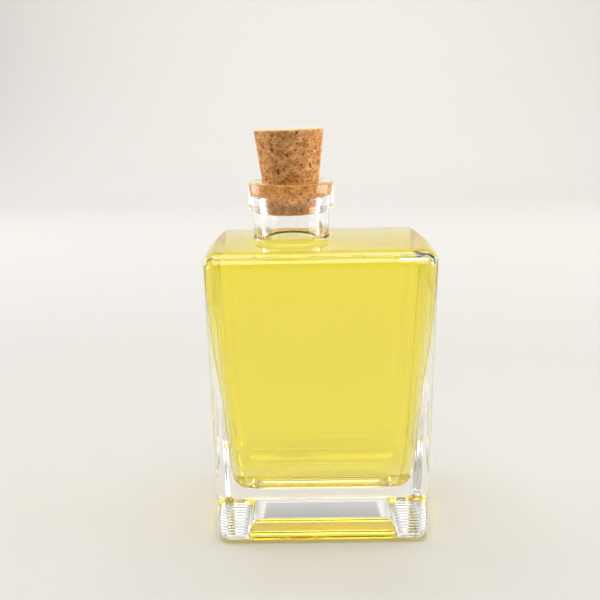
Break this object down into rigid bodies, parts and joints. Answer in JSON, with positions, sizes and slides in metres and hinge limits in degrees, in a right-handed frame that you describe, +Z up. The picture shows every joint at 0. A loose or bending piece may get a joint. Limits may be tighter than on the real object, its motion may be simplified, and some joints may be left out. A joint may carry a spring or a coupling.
{
  "type": "glass beverage bottle",
  "caption": "Rectangular clear glass bottle with a heavy base and a neck off to one side, full of clear yellow drink and closed by a tapered cork.",
  "frame": {"origin": "middle of the base, on the plane that the bottle stands on", "axes": "+Z up; broad front face towards -Y; the neck is off the middle towards -X"},
  "size_m": [0.08, 0.0506, 0.1485],
  "materials": {
    "clear_glass": "clear, fire polished, with a ribbed foot strip",
    "yellow_drink": "clear lemon yellow liquid",
    "cork": "pressed cork granules, matt, with dark pits"
  },
  "bodies": {
    "root": {"bottle": "clear_glass", "drink": "yellow_drink", "cork": "cork"}
  },
  "joints": []
}
